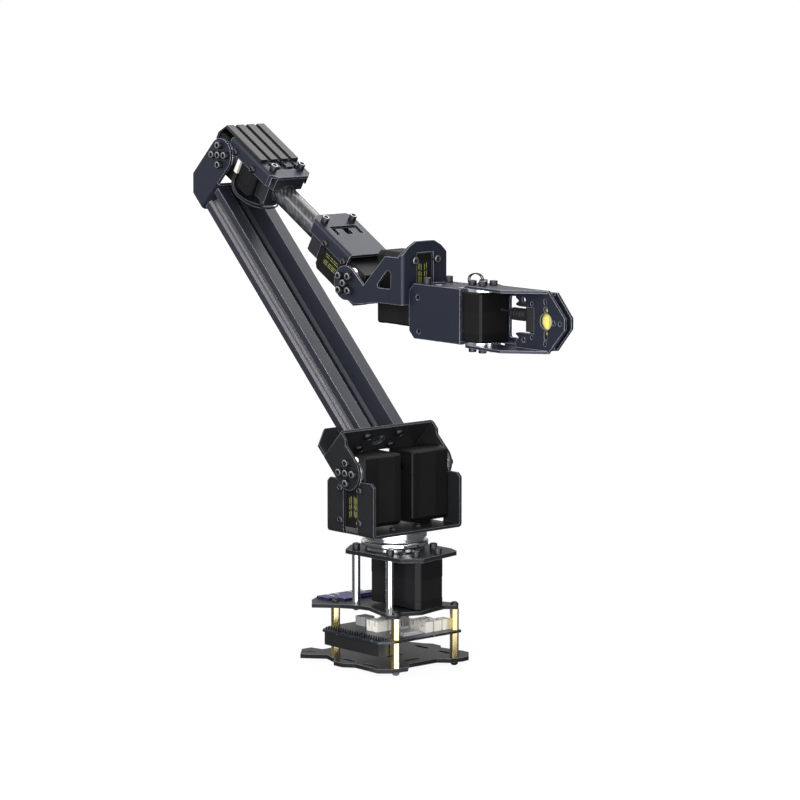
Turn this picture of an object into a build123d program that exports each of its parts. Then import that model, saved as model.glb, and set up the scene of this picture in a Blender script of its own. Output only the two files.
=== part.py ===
from build123d import *
import math
import os

os.makedirs("parts", exist_ok=True)

# Sheet metal, screws and running gaps
sheet = 2.0
bend = 1.8
gap = 0.3
fit = 0.05
screw_r = 1.45
hole_r = 1.6
head_r = 2.7
head_h = 2.2
low_head_h = 0.8
ear_head_h = 3.2
button_h = 2.5

# Servo: the length runs from the short end, past the output axis, to the far end
servo_short = 11.5
servo_far = 38.5
servo_width = 25.5
servo_depth = 33.5
front_lid = 12.5
back_lid = 6.0
short_chamfer = 1.4
far_chamfer = 3.0
lid_chamfer = 0.8
mount_near = 11.2
mount_far = 33.7
mount_side = 10.0
label_start = 14.2
label_end = 34.0
label_half = 6.5
label_deep = 0.4

# Horns, the stub that turns in the lid, and the window that a bracket leaves round them
horn_r = 12.0
horn_lift = 0.25
horn_h = 2.05
horn_screw_ring = 7.0
stub_r = 3.0
stub_h = 2.5
window_r = 12.2
window_half = 7.4
window_end = 38.8

# Base stack, from the resting plane up
plate_h = 3.0
standoff_flats = 5.5
standoff_x = 32.0
standoff_y = 27.0
lower_standoff_h = 18.0
board_h = 1.6
header_half = 29.0
header_y = -39.6
header_wide = 10.0
header_h = 9.2
socket_h = 7.5
upper_standoff_h = 15.0
mid_plate_h = 2.8
post_r = 2.9
post_x = 17.9
post_y = 20.0
post_h = 35.1
post_bore_h = 7.0
cap_head_h = 4.3

slot_long = 14.0
slot_wide = 4.0
slot_pitch_x = 24.0
slot_pitch_y = 68.0
slot_middle = 2.0

base_top = button_h + plate_h
board_z = base_top + lower_standoff_h
board_top = board_z + board_h
mid_z = board_top + upper_standoff_h
mid_top = mid_z + mid_plate_h
top_z = mid_top + post_h
top_top = top_z + plate_h

# Turntable
ring_h = 14.4
ring_step_r = 21.2
ring_wide_r = 23.3
ring_top_r = 22.3
ring_step_h = 3.5
ring_wide_h = 3.8
ring_bore_r = 15.0
hub_r = 11.5
web_h = 4.0

# Turret bracket and shoulder
turret_z = top_top + ring_h
turret_x = 24.5
turret_wall_h = 38.1
shoulder_rise = 43.4
shoulder_servo_gap = 10.0
shoulder_z = turret_z + shoulder_rise

# Upper arm: u runs along it from the shoulder axis, w across it
arm_lean = 135.0
ear_low_w = -12.0
ear_high_w = 11.5
ear_lip_w = 14.0
ear_web_u = 25.0
back_plate_end = 46.0
back_plate_chamfer = 12.5
arm_start_u = ear_web_u + sheet / 2
arm_length = 225.0
arm_depth = 20.0
arm_width = 40.0
slot_mouth = 9.2
slot_inside = 12.0
slot_deep = 5.6
channel_width = 20.8
channel_lip = 2.0
channel_inside = 24.0
channel_floor = 3.0
end_screw_r = 3.6
end_screw_y = 14.5
end_screw_w = 6.8
end_hole_r = 5.0
elbow_w = 30.0
elbow_ear_low = -12.9
elbow_ear_far = 12.0

# Forearm: a runs along it from the elbow axis, n across it
forearm_drop = 30.4
forearm_length = 160.5
bracket_lift = 2.8
bracket_start = 3.0
bracket_end = 56.5
bracket_lip = 7.8
bracket_corner = 7.5
clamp_long = 11.3
clamp_half = 13.0
clamp_low = 11.0
clamp_brow = 4.5
clamp_brow_n = 5.0
tube_r = 8.0
tube_wall = 1.6
tube_n = 0.5
tall_head_h = 4.4
tall_screw_in = 8.0
tall_screw_y = 12.5
wrist_clamp_gap = 4.0
wrist_bracket_reach = 57.0
wrist_bracket_back = 7.5
comb_half = 12.2
comb_band = 3.8
comb_leg = 6.6
comb_outer = 3.5
comb_inner = 3.0
cover_start = -11.8
cover_low = 5.0
cover_end = 37.0
cover_half = 17.0
cover_skin = 0.8
cover_rib = 1.5
cover_ribs = 4
cover_gap = 3.2

# Leads of the elbow servo: two strands from plug to plug, under the clamp
lead_r = 0.65
lead_pitch = 1.7
plug_start = 16.3
plug_long = 3.4
plug_low = -3.0
plug_high = 7.5
plug_deep = 2.0

# Wrist fork, about the wrist axis
fork_reach = 58.3
fork_front_low = -10.8
fork_arm_high = 21.5
fork_front_high = 32.1
roll_below_wrist = 14.5
roll_ahead = 57.3

# Hand: places ahead of the roll horn's face
grip_box_long = 51.3
grip_axis_ahead = 58.3
grip_chamfer = 5.0
jaw_nose = 57.0
jaw_tip = 73.0
jaw_half = 20.5
jaw_tip_half = 3.85
jaw_plate_y = 5.5
fixed_nose = 58.0
fixed_tip = 72.0
fixed_half = 19.4
fixed_tip_half = 3.65
pad_long = 10.5
pad_high = 17.0
fixed_flange_y = 8.0
window_from = 12.6
window_to = 32.2
jaw_window_half = 14.0
box_screw_ahead = 13.0
jaw_root = 26.2
jaw_notch = 17.6
jaw_tooth = 3.0
sensor_half = 8.2
sensor_start = 91.8
sensor_long = 9.8
boot_start = 80.0
boot_z = 3.0

# Derived joint places
arm_dir = math.radians(arm_lean)
arm_u = Vector(math.cos(arm_dir), 0, math.sin(arm_dir))
arm_w = Vector(math.sin(arm_dir), 0, -math.cos(arm_dir))
shoulder = Vector(0, 0, shoulder_z)
elbow_u = arm_start_u + arm_length + sheet + horn_r
elbow = shoulder + arm_u * elbow_u + arm_w * elbow_w
drop = math.radians(forearm_drop)
fore_a = Vector(math.cos(drop), 0, -math.sin(drop))
fore_n = Vector(math.sin(drop), 0, math.cos(drop))
wrist = elbow + fore_a * forearm_length
roll_face_x = wrist.X + roll_ahead
roll_z = wrist.Z - roll_below_wrist
hand_x = roll_face_x + horn_lift + horn_h
grip_x = hand_x + grip_axis_ahead

half_depth = servo_depth / 2
half_width = servo_width / 2
wall_out = half_depth + sheet
ear_in = half_depth + horn_lift + horn_h
ear_mid = ear_in + sheet / 2
shoulder_servo_y = shoulder_servo_gap / 2 + half_depth
shoulder_wall_y = shoulder_servo_gap / 2 + servo_depth
shoulder_ear_y = shoulder_wall_y + horn_lift + horn_h
bracket_top = half_width + bracket_lift + sheet
clamp_start = servo_far + gap
wrist_clamp_start = forearm_length - servo_far - wrist_clamp_gap - clamp_long
wrist_bracket_start = forearm_length - wrist_bracket_reach
wrist_bracket_end = forearm_length - wrist_bracket_back
arm_web_u = arm_start_u + arm_length + sheet / 2

# Planes: side views have x along the link, cross views have x sideways and y along the link
arm_side = Plane(shoulder, x_dir=arm_u, z_dir=(0, 1, 0))
arm_cross = Plane(shoulder, x_dir=(0, 1, 0), z_dir=arm_w)
arm_end = Plane(shoulder, x_dir=(0, 1, 0), z_dir=arm_u)
fore_side = Plane(elbow, x_dir=fore_a, z_dir=(0, -1, 0))
fore_end = Plane(elbow, x_dir=fore_n, z_dir=fore_a)
fore_top = Plane(elbow, x_dir=fore_a, z_dir=fore_n)
fork_side = Plane(wrist, x_dir=(1, 0, 0), z_dir=(0, -1, 0))
fork_cross = Plane(wrist, x_dir=(0, -1, 0), z_dir=(0, 0, 1))
roll_end = Plane((roll_face_x, 0, roll_z), x_dir=(0, 1, 0), z_dir=(1, 0, 0))
grip_side = Plane((hand_x, 0, roll_z), x_dir=(1, 0, 0), z_dir=(0, -1, 0))
grip_top = Plane((hand_x, 0, roll_z), x_dir=(1, 0, 0), z_dir=(0, 0, 1))

# Servo planes: x towards the far end of the case, z out of the driven horn
base_servo = Plane((0, 0, top_z - half_depth), x_dir=(1, 0, 0), z_dir=(0, 0, 1))
near_servo = Plane((0, -shoulder_servo_y, shoulder_z), x_dir=(0, 0, -1), z_dir=(0, -1, 0))
far_servo = Plane((0, shoulder_servo_y, shoulder_z), x_dir=(0, 0, -1), z_dir=(0, 1, 0))
elbow_servo = Plane(elbow, x_dir=fore_a, z_dir=(0, -1, 0))
wrist_servo = Plane(wrist, x_dir=fore_a * -1, z_dir=(0, -1, 0))
roll_servo = Plane((roll_face_x - half_depth, 0, roll_z), x_dir=(0, 0, 1), z_dir=(1, 0, 0))
grip_servo = Plane((grip_x, 0, roll_z), x_dir=(-1, 0, 0), z_dir=(0, 0, 1))


def save(name, *shapes):
    """Writes one node: a single piece, or a group of separate alike pieces."""
    solids = [solid for shape in shapes for solid in shape.solids()]
    whole = solids[0] if len(solids) == 1 else Compound(solids)
    export_step(whole, os.path.join("parts", name + ".step"))


def face(points):
    """Flat outline through the points."""
    return make_face(Polyline(*points, close=True))


def rounded(points, radius):
    """Flat outline through the points, with each corner rounded."""
    return fillet(face(points).vertices(), radius)


def block(plane, low, high):
    """Box between two corners, in the plane's own axes."""
    size = [h - l for l, h in zip(low, high)]
    middle = [(h + l) / 2 for l, h in zip(low, high)]
    return plane * Pos(*middle) * Box(*size)


def disc(plane, x, y, low, high, radius):
    """Round bar along the plane's normal."""
    return plane * Pos(x, y, (low + high) / 2) * Cylinder(radius, high - low)


def folded(plane, points, width):
    """Folded strip of sheet: its middle line with round bends, drawn out both ways."""
    line = FilletPolyline(*points, radius=bend)
    return extrude(plane * trace(line, sheet), width / 2, both=True)


def through(plane, shape, reach=80):
    """Cutter: a flat shape drawn through everything, both ways."""
    return extrude(plane * shape, reach, both=True)


def screw(plane, x, y, seat, length, radius=head_r, height=head_h, turn=1):
    """Screw with its head on the seat; turn is -1 for one that points the other way."""
    head = disc(plane, x, y, min(seat, seat + turn * height), max(seat, seat + turn * height), radius)
    shank = disc(plane, x, y, min(seat, seat - turn * length), max(seat, seat - turn * length), screw_r)
    return head + shank


def drill(shape, plane, spots, low, high, radius=hole_r):
    """The shape with a round hole at each spot."""
    for x, y in spots:
        shape = shape - disc(plane, x, y, low, high, radius)
    return shape


def servo_outline(inset=0.0):
    """Outline of the servo case, seen along its output axis."""
    x0 = -servo_short + inset
    x1 = servo_far - inset
    y1 = half_width - inset
    return face([
        (x0 + short_chamfer, -y1), (x1 - far_chamfer, -y1), (x1, -y1 + far_chamfer),
        (x1, y1 - far_chamfer), (x1 - far_chamfer, y1), (x0 + short_chamfer, y1),
        (x0, y1 - short_chamfer), (x0, -y1 + short_chamfer),
    ])


def servo_case(plane):
    """Middle part of the housing, set in a little at the two seams."""
    low = -half_depth + back_lid
    high = half_depth - front_lid
    return extrude(plane.offset(low) * servo_outline(0.15), high - low)


def servo_lids(plane):
    """Gearbox lid and back lid, each with a chamfered rim and a bore for the horn's stub."""
    front = extrude(plane.offset(half_depth - front_lid) * servo_outline(), front_lid)
    back = extrude(plane.offset(-half_depth) * servo_outline(), back_lid)
    front = chamfer(front.faces().sort_by(Axis(plane.origin, plane.z_dir))[-1].edges(), lid_chamfer)
    back = chamfer(back.faces().sort_by(Axis(plane.origin, plane.z_dir))[0].edges(), lid_chamfer)
    depth = stub_h + gap
    front = front - disc(plane, 0, 0, half_depth - depth, half_depth + 1, stub_r)
    back = back - disc(plane, 0, 0, -half_depth - 1, -half_depth + depth, stub_r)
    low = (label_start, -label_half, half_depth - label_deep)
    front = front - block(plane, low, (label_end, label_half, half_depth + 1))
    return [front, back]


def horn(plane, side):
    """Round horn with the stub that turns in the lid; side is 1 or -1 along the output axis."""
    low = half_depth + horn_lift
    flange = disc(plane, 0, 0, *sorted((side * low, side * (low + horn_h))), horn_r)
    tip = half_depth - stub_h
    stub = disc(plane, 0, 0, *sorted((side * tip, side * (low + horn_h / 2))), stub_r - fit)
    return flange + stub


def horn_spots(angle=45):
    """Places of the four screws round a horn, and of the middle one."""
    ring = [Vector(horn_screw_ring, 0, 0).rotate(Axis.Z, angle + 90 * i) for i in range(4)]
    return [(0, 0)] + [(p.X, p.Y) for p in ring]


def ear_spots(x, y, angle=45):
    """The same places about a joint's axis."""
    return [(x + dx, y + dy) for dx, dy in horn_spots(angle)]


def ear_screws(plane, x, y, seat):
    """Screws through a pair of ears into their horns."""
    return [screw(plane, px, py, side * seat, sheet, height=ear_head_h, turn=side)
            for px, py in ear_spots(x, y) for side in (-1, 1)]


def horn_window(plane):
    """Cutter for the slot and the round notch that a bracket leaves round a horn."""
    slot = through(plane, Pos(window_end / 2, 0) * Rectangle(window_end, 2 * window_half))
    notch = through(plane, Circle(window_r))
    return slot + notch


# Base

def base_plate():
    """Bottom plate with two rear legs, side tabs and oval slots."""
    edge = [
        (-47.4, -46.5), (-60.3, -34.3), (-60.1, -26.0), (-50.0, -24.0), (-50.0, 24.0), (-60.1, 26.0),
        (-60.3, 34.3), (-47.4, 46.5), (-31.4, 38.2), (-18.8, 43.4), (-13.6, 47.3), (-4.8, 47.3),
        (0.2, 43.0), (18.6, 47.0), (25.0, 47.0), (35.0, 38.0), (36.0, 31.3), (34.1, 22.0), (27.0, 15.0),
        (27.0, -10.3), (35.4, -18.7), (34.0, -31.7), (27.3, -39.4), (3.1, -38.6), (-4.6, -44.4),
        (-13.6, -44.4), (-19.0, -38.6), (-33.1, -34.0),
    ]
    solid = extrude(Pos(0, 0, button_h) * rounded(edge, 1.2), plate_h)
    slots = [(-52, -36, 45), (-52, 36, -45), (-18, 0, 90), (0, 0, 90), (18, 0, 90)]
    slots += [(slot_middle + sx * slot_pitch_x / 2, sy * slot_pitch_y / 2, 0) for sx in (-1, 1) for sy in (-1, 1)]
    for x, y, turn in slots:
        solid = solid - through(Plane.XY, Pos(x, y) * Rot(0, 0, turn) * SlotOverall(slot_long, slot_wide))
    return drill(solid, Plane.XY, corners(standoff_x, standoff_y), 0, base_top + 1)


def corners(x, y):
    """The four places at plus and minus x and y."""
    return [(sx * x, sy * y) for sx in (-1, 1) for sy in (-1, 1)]


def standoffs(low, height):
    """Four hexagonal standoffs, drilled through."""
    hexagon = RegularPolygon(standoff_flats / 2, 6, major_radius=False) - Circle(hole_r)
    return [Pos(x, y, low) * extrude(hexagon, height) for x, y in corners(standoff_x, standoff_y)]


def base_button_screws():
    """Button heads under the base plate, on the middle plate, and under it at the posts."""
    feet = [screw(Plane.XY, x, y, button_h, plate_h + 5, head_r, button_h, -1)
            for x, y in corners(standoff_x, standoff_y)]
    upper = [screw(Plane.XY, x, y, mid_top, mid_plate_h + 5, head_r, button_h)
             for x, y in corners(standoff_x, standoff_y)]
    posts = [screw(Plane.XY, x, y, mid_z, mid_plate_h + 5, head_r, button_h, -1)
             for x, y in corners(post_x, post_y)]
    return feet + upper + posts


def controller_board():
    """Circuit board between the standoffs; its near edge overhangs them."""
    edge = [(-35.5, -31), (-30, -41), (29.5, -41), (36, -31), (36, 31), (-35.5, 31)]
    board = extrude(Pos(0, 0, board_z) * rounded(edge, 2.0), board_h)
    return drill(board, Plane.XY, corners(standoff_x, standoff_y), 0, mid_z)


def header_block():
    """Long pin header along the board's near edge, below it, with its key slots."""
    low = board_z - header_h
    housing = block(Plane.XY, (-header_half, header_y, low), (header_half, header_y + header_wide, board_z))
    well = block(Plane.XY, (2 - header_half, header_y + 2, low - 1),
                 (header_half - 2, header_y + header_wide - 2, board_z - 2))
    return housing - well


def socket(x, y, long, wide, walls=1.2):
    """Open box socket on the board, with a key slot in its near wall."""
    outer = Pos(x, y, board_top + socket_h / 2) * Box(long, wide, socket_h)
    inner = Pos(x, y, board_top + socket_h / 2 + walls) * Box(long - 2 * walls, wide - 2 * walls, socket_h)
    key = Pos(x, y - wide / 2, board_top + socket_h) * Box(long / 4, 3 * walls, socket_h)
    return outer - inner - key


def board_connectors():
    """Two rows of sockets on the board."""
    near = [socket(x, y, 5.4, 9.5) for x, y in [(-4.5, -15), (1.5, -15), (-4.5, -4.5), (1.5, -4.5)]]
    far = [socket(x, y, 7.5, 6.8) for x, y in [(14.5, 7.5), (24, 7.5), (24, 15.5), (24, 23.5), (14.5, 15.5)]]
    return near + far


def board_parts():
    """Square chip on its heat spreader, finned heat sink, metal socket and a row of tall pins."""
    chip = block(Plane.XY, (12, -15, board_top), (27, 2, board_top + 1.0))
    chip = chip + block(Plane.XY, (14, -13, board_top), (25, 0, board_top + 2.0))
    sink = block(Plane.XY, (-20, 4, board_top), (-6, 18, board_top + 7))
    for i in range(4):
        sink = sink - block(Plane.XY, (-18.7 + 3.2 * i, 3, board_top + 1.5), (-16.9 + 3.2 * i, 19, board_top + 8))
    plug = block(Plane.XY, (-27, -13, board_top), (-17, -4, board_top + 6.5))
    plug = plug - block(Plane.XY, (-28, -12, board_top + 1), (-20, -5, board_top + 5.5))
    pins = block(Plane.XY, (6, -3.2, board_top), (10, 6.2, board_top + 2.5))
    for i in range(4):
        y = -2 + 2.5 * i
        pins = pins + block(Plane.XY, (7.5, y - 0.4, board_top), (8.3, y + 0.4, board_top + 10))
    return [chip, sink, plug, pins]


def mid_plate():
    """Plate that carries the posts; its rear part carries the small board."""
    edge = [
        (-35.7, -45.6), (-47.0, -36.2), (-51.6, -28.7), (-52.1, -16.2), (-48.6, 17.3), (-44.0, 32.0),
        (-30.0, 33.0), (-9.3, 25.0), (10.0, 25.0), (29.2, 33.5), (35.9, 26.8), (29.2, 20.0), (31.4, 9.0),
        (35.1, -5.5), (30.0, -20.0), (35.5, -28.0), (31.0, -33.5), (24.0, -30.0), (-0.9, -23.0), (-9.3, -25.0),
        (-20.9, -31.9),
    ]
    solid = extrude(Pos(0, 0, mid_z) * rounded(edge, 1.2), mid_plate_h)
    solid = drill(solid, Plane.XY, corners(standoff_x, standoff_y), mid_z - 1, mid_top + 1)
    return drill(solid, Plane.XY, corners(post_x, post_y), mid_z - 1, mid_top + 1)


def module_board():
    """Small circuit board on the rear of the middle plate, with its parts."""
    edge = [(-49.5, -29.5), (-37, -29.5), (-37, -22), (-28, -22), (-28, 9), (-48.5, 9)]
    board = extrude(Pos(0, 0, mid_top) * face(edge), board_h)
    part = block(Plane.XY, (-39, -6, mid_top + board_h), (-30, 5, mid_top + board_h + 1.2))
    return board + part


def posts():
    """Four polished posts between the middle and top plates, drilled at both ends."""
    solids = []
    for x, y in corners(post_x, post_y):
        post = disc(Plane.XY, x, y, mid_top, top_z, post_r)
        post = post - disc(Plane.XY, x, y, mid_top - 1, mid_top + post_bore_h, hole_r)
        solids.append(post - disc(Plane.XY, x, y, top_z - post_bore_h, top_z + 1, hole_r))
    return solids


def top_plate():
    """Eight-sided plate over the base servo, open round its horn."""
    edge = [
        (-33.5, -12.0), (-22.0, -26.5), (31.5, -22.8), (41.8, -10.0), (34.0, 27.5), (24.0, 31.5),
        (-22.0, 30.5), (-33.5, 16.0),
    ]
    solid = extrude(Pos(0, 0, top_z) * rounded(edge, 1.5), plate_h)
    solid = solid - disc(Plane.XY, 0, 0, top_z - 1, top_top + 1, window_r + gap)
    solid = drill(solid, Plane.XY, corners(post_x, post_y), top_z - 1, top_top + 1)
    return drill(solid, Plane.XY, [(mount_far, -mount_side), (mount_far, mount_side)], top_z - 1, top_top + 1)


def top_plate_screws():
    """Cap screws into the posts, and two into the base servo."""
    caps = [screw(Plane.XY, x, y, top_top, plate_h + 5, head_r, cap_head_h) for x, y in corners(post_x, post_y)]
    ends = [screw(Plane.XY, mount_far, y, top_top, plate_h, head_r, cap_head_h) for y in (-mount_side, mount_side)]
    return caps + ends


def turntable_base_ring():
    """Fixed ring of the turntable, turned with a narrow step and a wide rim."""
    wide_z = top_top + ring_step_h
    top = wide_z + ring_wide_h
    profile = face([
        (ring_bore_r, top_top), (ring_step_r - 5.5, top_top), (ring_step_r - 5.5, top_top + 1), (ring_step_r, top_top + 1),
        (ring_step_r, wide_z - 0.6), (ring_wide_r - 0.8, wide_z), (ring_wide_r, wide_z + 0.8),
        (ring_wide_r, top - 0.8), (ring_wide_r - 0.8, top), (ring_bore_r, top),
    ])
    return revolve(Plane.XZ * profile, Axis.Z)


# Turret

def turntable_top_ring():
    """Turning ring: rim, web and the hub that sits on the base servo's horn."""
    low = top_top + ring_step_h + ring_wide_h + gap
    hub_low = top_z + horn_lift + horn_h
    profile = face([
        (0, hub_low), (hub_r, hub_low), (hub_r, turret_z - web_h), (ring_step_r - 5, turret_z - web_h),
        (ring_step_r - 5, low), (ring_top_r - 1.6, low), (ring_top_r - 1.6, low + 1.4), (ring_top_r, low + 2.2),
        (ring_top_r, turret_z - 0.8), (ring_top_r - 0.8, turret_z), (0, turret_z),
    ])
    return revolve(Plane.XZ * profile, Axis.Z)


def turret_bracket():
    """U bracket round both shoulder servos: floor, two slotted walls, notches round the horns."""
    wall = shoulder_wall_y + sheet / 2
    top = turret_z + turret_wall_h
    line = [(-wall, top), (-wall, turret_z + sheet / 2), (wall, turret_z + sheet / 2), (wall, top)]
    solid = folded(Plane.YZ, line, 2 * turret_x)
    side = Plane((0, 0, shoulder_z), x_dir=(0, 0, -1), z_dir=(0, -1, 0))
    for sign in (-1, 1):
        corner = Pos(shoulder_z - top, sign * turret_x) * Rot(0, 0, 45) * Rectangle(4, 4)
        solid = solid - through(side, corner)
    window = extrude(side * (Pos(window_end / 2, 0) * Rectangle(window_end, 2 * window_half)), 60, both=True)
    solid = solid - window - through(side, Circle(window_r))
    for sign in (-1, 1):
        low, high = sorted((sign * (shoulder_wall_y - bend / 2), sign * (shoulder_wall_y + 2 * sheet)))
        solid = solid - block(Plane.XY, (-window_half, low, turret_z - 1), (window_half, high, turret_z + 8))
    solid = solid - through(Plane.XY, Circle(7))
    for x in (-16, 16):
        for y in (-30, 30):
            solid = solid - through(Plane.XY, Pos(x, y) * SlotOverall(9, 4))
    spots = [(x, y) for x in (mount_near, mount_far) for y in (-mount_side, mount_side)]
    solid = drill(solid, side, spots, -60, 60)
    return drill(solid, Plane.XY, corners(11.5, 11.5), turret_z - 1, turret_z + sheet + 1)


def turret_screws():
    """Screws through the walls into the servos, and through the floor into the ring."""
    solids = [screw(Plane.XY, x, y, turret_z + sheet, sheet, height=1.8) for x, y in corners(11.5, 11.5)]
    for plane in (near_servo, far_servo):
        for x in (mount_near, mount_far):
            for y in (-mount_side, mount_side):
                solids.append(screw(plane, x, y, half_depth + sheet, sheet))
    return solids


# Upper arm

def shoulder_ears():
    """Folded bracket: a round ear over each shoulder horn, joined by a web that holds the extrusion."""
    ear = shoulder_ear_y + sheet / 2
    line = [(-ear, -horn_r), (-ear, ear_web_u), (ear, ear_web_u), (ear, -horn_r)]
    solid = folded(arm_cross, line, 2 * ear_lip_w)
    edge = face([
        (0, ear_low_w), (0, horn_r), (15, ear_high_w), (18, ear_lip_w), (27, ear_lip_w), (27, ear_low_w),
    ])
    side = through(arm_side, edge + Circle(horn_r))
    back = face([
        (-ear - 1, ear_web_u), (ear + 1, ear_web_u), (ear + 1, back_plate_end - back_plate_chamfer),
        (ear + 1 - back_plate_chamfer, back_plate_end), (-ear - 1 + back_plate_chamfer, back_plate_end),
        (-ear - 1, back_plate_end - back_plate_chamfer),
    ])
    plate = extrude(arm_cross.offset(ear_low_w) * back, sheet)
    solid = (solid & side) + plate
    solid = solid - through(arm_end, Circle(end_hole_r))
    solid = drill(solid, arm_end, end_spots(), ear_web_u - 5, ear_web_u + 2, 2.6)
    return drill(solid, arm_side, ear_spots(0, 0), -60, 60, screw_r + fit)


def end_spots():
    """Places of the screws in each end of the extrusion."""
    return [(sy * end_screw_y, sw * end_screw_w) for sy in (-1, 1) for sw in (-1, 1)]


def arm_extrusion():
    """Slotted extrusion: a deep channel in front and a dovetail slot down each side."""
    half_w = arm_depth / 2
    half_y = arm_width / 2
    profile = Rectangle(arm_width, arm_depth)
    mouth = channel_width / 2
    wide = channel_inside / 2
    channel = face([
        (-mouth, half_w + 1), (-mouth, half_w - channel_lip), (-wide, half_w - channel_lip - 1.2),
        (-wide, -half_w + channel_floor + 2), (-wide + 2, -half_w + channel_floor),
        (wide - 2, -half_w + channel_floor), (wide, -half_w + channel_floor + 2),
        (wide, half_w - channel_lip - 1.2), (mouth, half_w - channel_lip), (mouth, half_w + 1),
    ])
    slot = face([
        (half_y + 1, -slot_mouth / 2), (half_y, -slot_mouth / 2), (half_y - 1.8, -slot_mouth / 2 + 1.7),
        (half_y - 1.8, -slot_inside / 2), (half_y - 3.2, -slot_inside / 2), (half_y - slot_deep, -3.2),
        (half_y - slot_deep, 3.2), (half_y - 3.2, slot_inside / 2), (half_y - 1.8, slot_inside / 2),
        (half_y - 1.8, slot_mouth / 2 - 1.7), (half_y, slot_mouth / 2), (half_y + 1, slot_mouth / 2),
    ])
    profile = profile - channel - slot - mirror(slot, about=Plane.YZ)
    plane = Plane(arm_cross.origin, x_dir=(0, 1, 0), z_dir=arm_u * -1)
    solid = extrude(plane.offset(-arm_start_u) * profile, -arm_length)
    return solid


def arm_end_screws():
    """Washer-head screws through the webs at both ends of the extrusion."""
    low = ear_web_u - sheet / 2
    high = arm_start_u + arm_length + sheet
    solids = []
    for x, y in end_spots():
        solids.append(screw(arm_end, x, y, low, sheet, end_screw_r, 3, -1))
        solids.append(screw(arm_end, x, y, high, sheet, end_screw_r, 3))
    return solids


def elbow_ears():
    """Folded bracket on the extrusion's end, its ears reaching forward to the elbow."""
    web = arm_web_u
    far = elbow_u + elbow_ear_far
    line = [(-ear_mid, far), (-ear_mid, web), (ear_mid, web), (ear_mid, far)]
    solid = folded(arm_cross, line, 2 * (elbow_w + horn_r))
    edge = face([
        (web - 2, elbow_ear_low), (far - 10, elbow_ear_low), (far, elbow_ear_low + 10), (far, elbow_w),
        (elbow_u - horn_r, elbow_w), (elbow_u - horn_r, 12.9), (web - 2, 12.9),
    ])
    side = through(arm_side, edge + Pos(elbow_u, elbow_w) * Circle(horn_r))
    solid = solid & side
    strap = Pos(0, web - 8) * Rectangle(2 * ear_mid - 8, 17)
    strap = fillet(strap.vertices().group_by(Axis.Y)[0], 6)
    solid = solid + extrude(arm_cross.offset(elbow_ear_low) * strap, sheet)
    solid = drill(solid, arm_end, end_spots(), web - 2, web + 2, 2.6)
    solid = solid - disc(arm_side, elbow_u, elbow_w, -ear_in, ear_in, window_r)
    return drill(solid, arm_side, ear_spots(elbow_u, elbow_w), -30, 30, screw_r + fit)


# Forearm

def channel_bracket(start, end, chamfered):
    """Channel over a servo: top sheet with a narrow flange down each side."""
    top = bracket_top - sheet / 2
    side = half_depth + sheet / 2
    line = [(bracket_lip, -side), (top, -side), (top, side), (bracket_lip, side)]
    shape = FilletPolyline(*line, radius=bend)
    solid = extrude(fore_end.offset(start) * trace(shape, sheet), end - start)
    for sign in (-1, 1):
        corner = Pos(chamfered, sign * wall_out) * Rot(0, 0, 45) * Rectangle(bracket_corner, bracket_corner)
        solid = solid - through(fore_top, corner)
    return solid


def elbow_bracket():
    """Channel over the elbow servo that also carries the tube's clamp."""
    solid = channel_bracket(bracket_start, bracket_end, bracket_end)
    solid = solid - through(fore_side, Circle(window_r))
    solid = solid - comb(clamp_start + comb_leg + comb_band - sheet, -1)
    solid = drill(solid, fore_side, [(mount_near, mount_side), (mount_far, mount_side)], -30, 30)
    return drill(solid, fore_top, tall_spots(clamp_start + tall_screw_in), 0, 30)


def comb(start, turn):
    """Cutter for a band across the channel with three legs; turn is the way that the legs point."""
    shape = Pos(turn * comb_band / 2, 0) * Rectangle(comb_band, 2 * comb_half)
    leg = comb_band + comb_leg
    for y, half in [(comb_outer / 2 - comb_half, comb_outer / 2), (0, comb_inner), (comb_half - comb_outer / 2, comb_outer / 2)]:
        shape = shape + Pos(turn * leg / 2, y) * Rectangle(leg, 2 * half)
    return extrude(fore_top.offset(bracket_lip) * Pos(start, 0) * shape, 20)


def wrist_bracket():
    """Channel over the wrist servo; its tube end has a wide slot with three prongs."""
    solid = channel_bracket(wrist_bracket_start, wrist_bracket_end, wrist_bracket_start)
    solid = solid - through(Plane(wrist, x_dir=fore_a, z_dir=(0, -1, 0)), Circle(window_r))
    solid = solid - comb(wrist_clamp_start + clamp_long, 1)
    spots = [(forearm_length - mount_near, mount_side), (forearm_length - mount_far, mount_side)]
    solid = drill(solid, fore_side, spots, -30, 30)
    return drill(solid, fore_top, tall_spots(wrist_clamp_start + clamp_long / 2), 0, 30)


def tall_spots(along):
    """Places of a clamp's two tall screws."""
    return [(along, -tall_screw_y), (along, tall_screw_y)]


def clamp(start, along, brow):
    """Split block that grips the tube; its upper part reaches on past the lower one by the brow."""
    top = bracket_top - sheet
    shape = Pos((top - clamp_low) / 2, 0) * Rectangle(top + clamp_low, 2 * clamp_half)
    shape = chamfer(shape.vertices(), 2.5)
    solid = extrude(fore_end.offset(start) * shape, clamp_long)
    if brow:
        upper = shape & (Pos(clamp_brow_n + 20, 0) * Rectangle(40, 60))
        solid = solid + extrude(fore_end.offset(start) * upper, clamp_long + brow)
    bore = Pos(tube_n, 0) * Circle(tube_r + fit)
    split = Pos(-clamp_low / 2 - 2, 0) * Rectangle(clamp_low, 1.6)
    solid = solid - through(fore_end.offset(start), bore + split)
    return drill(solid, fore_top, tall_spots(along), top - 6, top + 1)


def forearm_tube():
    """Round tube between the two clamps."""
    ring = Circle(tube_r) - Circle(tube_r - tube_wall)
    length = wrist_clamp_start + clamp_long - clamp_start - 1
    return extrude(fore_end.offset(clamp_start) * Pos(tube_n, 0) * ring, length)


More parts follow.
